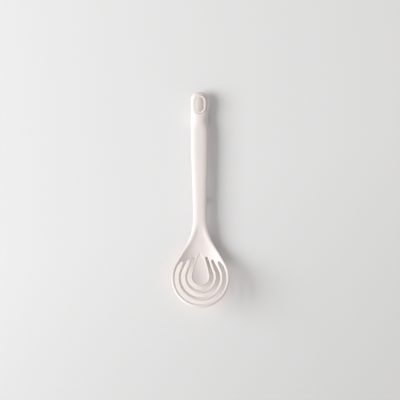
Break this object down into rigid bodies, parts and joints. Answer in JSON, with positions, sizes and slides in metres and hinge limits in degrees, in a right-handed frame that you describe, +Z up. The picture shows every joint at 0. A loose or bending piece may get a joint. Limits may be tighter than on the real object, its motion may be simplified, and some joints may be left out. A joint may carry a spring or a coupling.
{
  "type": "rice washing stick",
  "caption": "Hand tool for stirring and rinsing rice: a dished scoop with nested U-shaped slots on a hollow handle with an oval hanging hole and a rest foot below.",
  "frame": {"origin": "on the table, below the middle of the stick's length and width", "axes": "+X to the right, +Y along the handle to its end, +Z up from the table"},
  "size_m": [0.0656, 0.24, 0.0434],
  "materials": {
    "body_plastic": "matte",
    "foot_rubber": "matte",
    "weight_steel": "plain"
  },
  "bodies": {
    "root": {"slotted_body": "body_plastic", "handle_back_cover": "body_plastic", "hanging_eyelet": "body_plastic", "rest_foot": "foot_rubber", "counterweight": "weight_steel"}
  },
  "joints": []
}
